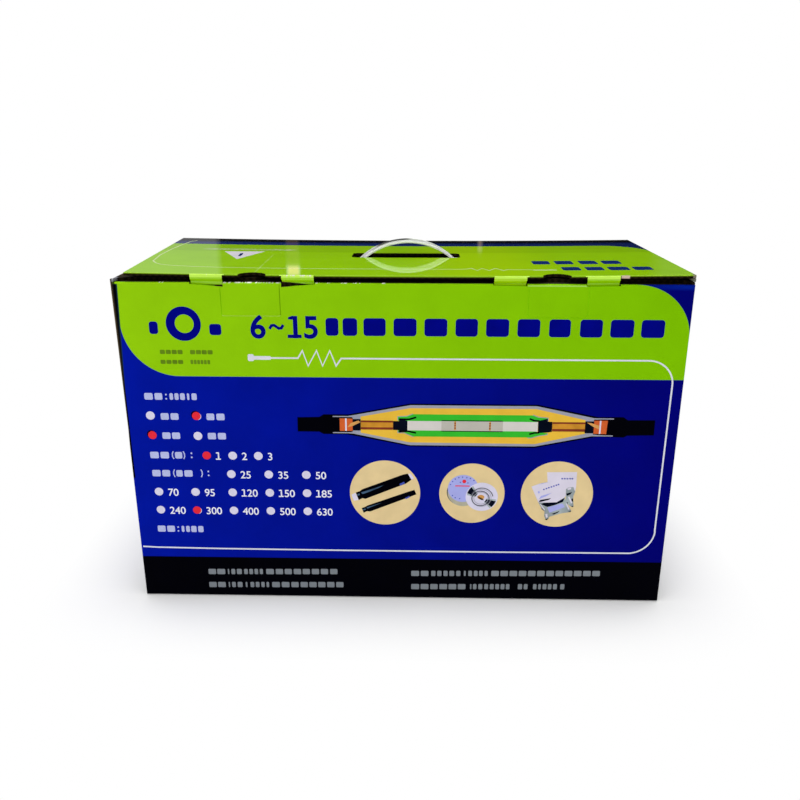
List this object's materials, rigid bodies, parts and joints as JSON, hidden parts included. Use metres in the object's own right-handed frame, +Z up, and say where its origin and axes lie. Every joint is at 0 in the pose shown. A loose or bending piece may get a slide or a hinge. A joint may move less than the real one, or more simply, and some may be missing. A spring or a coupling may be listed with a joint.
{
  "type": "corrugated carton",
  "caption": "Oblong corrugated carton with a hinged tuck-in lid and a moulded plastic carry strap that stands up through a slot in the lid.",
  "frame": {"origin": "middle of the carton's base, on the surface that it stands on", "axes": "+X along the front panel to the right as seen from the front, +Y from the front panel to the back, +Z up"},
  "size_m": [0.6, 0.27, 0.3975],
  "materials": {
    "body_board": "printed and laminated corrugated board, green, blue and black fields",
    "lid_board": "printed and gloss laminated corrugated board, green with a blue back band",
    "strap_plastic": "whitish, slightly see-through moulded plastic"
  },
  "bodies": {
    "carton": {"carton_body": "body_board", "handle": "strap_plastic"},
    "lid": {"lid": "lid_board"}
  },
  "joints": [
    {"name": "lid_hinge", "type": "hinge", "parent": "carton", "child": "lid", "pos_m": [0, 0.1353, 0.3781], "axis": [-1, 0, 0], "range_deg": [0, 180]}
  ]
}
